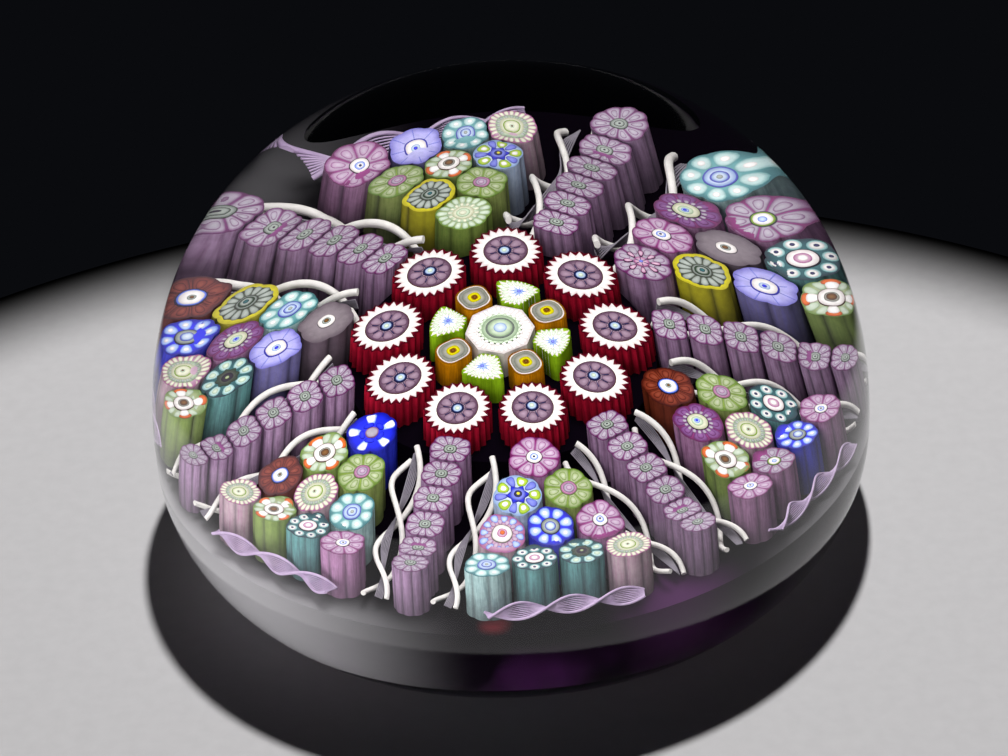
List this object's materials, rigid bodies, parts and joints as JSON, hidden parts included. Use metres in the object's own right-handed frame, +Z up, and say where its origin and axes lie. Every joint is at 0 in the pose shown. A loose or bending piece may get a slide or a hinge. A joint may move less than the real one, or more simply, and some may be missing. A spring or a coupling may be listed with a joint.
{
  "type": "glass paperweight",
  "caption": "Low domed clear glass paperweight with a patterned set-up of bundled canes and twisted thread rods on a dark ground, resting on a flat ring foot.",
  "frame": {"origin": "centre of the foot, on the surface the weight rests on", "axes": "+Z up through the crown of the dome, -Y the front, +X right"},
  "size_m": [0.07, 0.07, 0.045],
  "materials": {
    "amber_glass": "drawn cane glass, fire polished",
    "blue_circle_glass": "drawn cane glass, fire polished",
    "blue_wedge_glass": "drawn cane glass, fire polished",
    "brick_glass": "drawn cane glass, fire polished",
    "clear_crystal": "polished, optically clear lead-free crystal",
    "cream_glass": "drawn cane glass, fire polished",
    "dark_amethyst_glass": "cast, dark translucent glass",
    "heather_glass": "drawn cane glass, fire polished",
    "lavender_glass": "drawn cane glass, fire polished",
    "lilac_thread_glass": "drawn cane glass, fire polished",
    "lime_glass": "drawn cane glass, fire polished",
    "lime_white_glass": "drawn cane glass, fire polished",
    "mauve_glass": "drawn cane glass, fire polished",
    "moss_glass": "drawn cane glass, fire polished",
    "pale_blue_glass": "drawn cane glass, fire polished",
    "periwinkle_glass": "drawn cane glass, fire polished",
    "pink_glass": "drawn cane glass, fire polished",
    "plum_glass": "drawn cane glass, fire polished",
    "rose_glass": "drawn cane glass, fire polished",
    "ruby_cased_glass": "drawn cane glass, fire polished",
    "smoke_glass": "drawn cane glass, fire polished",
    "tangerine_glass": "drawn cane glass, fire polished",
    "teal_circle_glass": "drawn cane glass, fire polished",
    "teal_dark_glass": "drawn cane glass, fire polished",
    "white_green_glass": "drawn cane glass, fire polished",
    "white_thread_glass": "drawn cane glass, fire polished",
    "yellow_glass": "drawn cane glass, fire polished"
  },
  "bodies": {
    "root": {"amber_cane_1": "amber_glass", "amber_cane_2": "amber_glass", "amber_cane_3": "amber_glass", "amber_cane_4": "amber_glass", "amethyst_ground": "dark_amethyst_glass", "blue_circle_canes": "blue_circle_glass", "blue_wedge_canes": "blue_wedge_glass", "brick_canes": "brick_glass", "centre_cane": "white_green_glass", "clear_base": "clear_crystal", "clear_dome": "clear_crystal", "cream_canes": "cream_glass", "green_cog_cane_1": "lime_white_glass", "green_cog_cane_2": "lime_white_glass", "green_cog_cane_3": "lime_white_glass", "green_cog_cane_4": "lime_white_glass", "heather_canes": "heather_glass", "lavender_canes": "lavender_glass", "lime_canes": "lime_glass", "mauve_canes": "mauve_glass", "moss_canes": "moss_glass", "pale_blue_canes": "pale_blue_glass", "periwinkle_canes": "periwinkle_glass", "pink_canes": "pink_glass", "plum_canes": "plum_glass", "rim_twists": "lilac_thread_glass", "rose_canes": "rose_glass", "ruby_cane_1": "ruby_cased_glass", "ruby_cane_2": "ruby_cased_glass", "ruby_cane_3": "ruby_cased_glass", "ruby_cane_4": "ruby_cased_glass", "ruby_cane_5": "ruby_cased_glass", "ruby_cane_6": "ruby_cased_glass", "ruby_cane_7": "ruby_cased_glass", "ruby_cane_8": "ruby_cased_glass", "ruby_cane_9": "ruby_cased_glass", "smoke_canes": "smoke_glass", "spoke_1_canes": "mauve_glass", "spoke_1_twist_left": "white_thread_glass", "spoke_1_twist_right": "white_thread_glass", "spoke_2_canes": "mauve_glass", "spoke_2_twist_left": "white_thread_glass", "spoke_2_twist_right": "white_thread_glass", "spoke_3_canes": "mauve_glass", "spoke_3_twist_left": "white_thread_glass", "spoke_3_twist_right": "white_thread_glass", "spoke_4_canes": "mauve_glass", "spoke_4_twist_left": "white_thread_glass", "spoke_4_twist_right": "white_thread_glass", "spoke_5_canes": "mauve_glass", "spoke_5_twist_left": "white_thread_glass", "spoke_5_twist_right": "white_thread_glass", "spoke_6_canes": "mauve_glass", "spoke_6_twist_left": "white_thread_glass", "spoke_6_twist_right": "white_thread_glass", "tangerine_canes": "tangerine_glass", "teal_circle_canes": "teal_circle_glass", "teal_dark_canes": "teal_dark_glass", "yellow_canes": "yellow_glass"}
  },
  "joints": []
}
